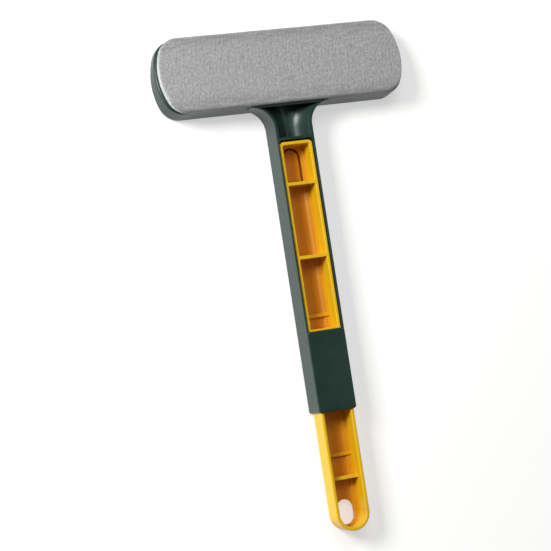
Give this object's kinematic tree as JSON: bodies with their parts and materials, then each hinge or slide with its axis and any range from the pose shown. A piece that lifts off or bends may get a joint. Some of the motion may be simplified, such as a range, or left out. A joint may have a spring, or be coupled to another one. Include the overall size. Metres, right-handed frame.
{
  "type": "telescopic window wiper with a cloth-faced head",
  "caption": "T-shaped hand wiper: wide padded head with a grey cloth face on a green channel handle, and a ribbed yellow grip with a hang hole that slides out of it.",
  "frame": {"origin": "on the plane the wiper lies on, under the middle of its bounding box", "axes": "X along the head, +Y up the handle towards the head, +Z out of the front, the side the cloth faces"},
  "size_m": [0.1504, 0.2852, 0.0169],
  "materials": {
    "green_plastic": "satin moulded",
    "yellow_plastic": "satin moulded",
    "grey_cloth": "short brushed pile",
    "white_foam": "cut foam",
    "loop_fabric": "knitted loops",
    "hook_tape": "nylon hooks",
    "screw_steel": "zinc plated"
  },
  "bodies": {
    "handle": {"handle_body": "green_plastic", "pad_plate": "green_plastic", "plate_screw_1": "screw_steel", "plate_screw_2": "screw_steel", "plate_screw_3": "screw_steel", "plate_screw_4": "screw_steel", "hook_tape_left": "hook_tape", "hook_tape_middle": "hook_tape", "hook_tape_right": "hook_tape"},
    "grip": {"sliding_grip": "yellow_plastic"},
    "latch": {"latch_tongue": "yellow_plastic"},
    "pad": {"cleaning_cloth": "grey_cloth", "pad_foam": "white_foam", "loop_backing": "loop_fabric"}
  },
  "joints": [
    {"name": "grip_slide", "type": "slide", "parent": "handle", "child": "grip", "axis": [0, -1, 0], "range_m": [0, 0.092]},
    {"name": "latch_flex", "type": "hinge", "parent": "grip", "child": "latch", "pos_m": [0, 0.0557, 0.0026], "axis": [1, 0, 0], "range_deg": [0, 5], "stiffness_Nm_per_rad": 0.2, "springref_deg": -1.72},
    {"name": "pad_pull", "type": "slide", "parent": "handle", "child": "pad", "axis": [0, 0.165, 0.9863], "range_m": [0, 0.03]}
  ]
}
